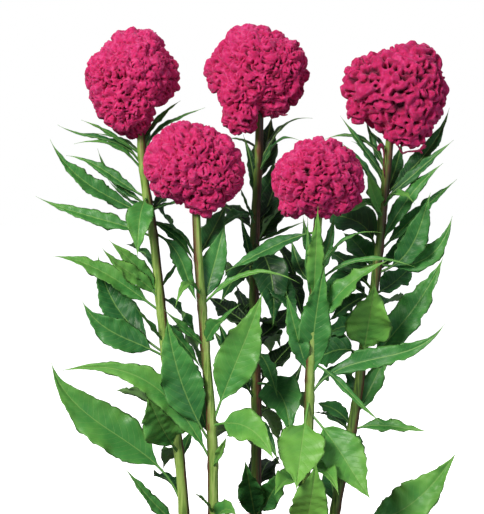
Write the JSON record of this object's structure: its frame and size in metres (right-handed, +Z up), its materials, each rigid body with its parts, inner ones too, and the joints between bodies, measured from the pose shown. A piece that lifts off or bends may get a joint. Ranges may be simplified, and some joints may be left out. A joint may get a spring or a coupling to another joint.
{
  "type": "potted cockscomb celosia",
  "caption": "Leafy upright garden plants with round, folded, brain-like crimson-pink flower heads, standing in soil in a round tapered clay pot with a deep rim.",
  "frame": {"origin": "middle of the underside of the pot, on the surface it stands on", "axes": "+Z up along the pot's axis; the plant is seen in the picture from -Y, with +X to the right"},
  "size_m": [0.425, 0.254, 0.703],
  "materials": {
    "clay": "unglazed, matte",
    "soil": "damp crumbs, matte",
    "foliage": "satin leaf",
    "crest": "velvety"
  },
  "bodies": {
    "root": {"pot": "clay", "soil": "soil", "leafy_stem_left": "foliage", "leafy_stem_frontleft": "foliage", "leafy_stem_back": "foliage", "leafy_stem_frontright": "foliage", "leafy_stem_right": "foliage", "flower_head_left": "crest", "flower_head_frontleft": "crest", "flower_head_back": "crest", "flower_head_frontright": "crest", "flower_head_right": "crest"}
  },
  "joints": []
}
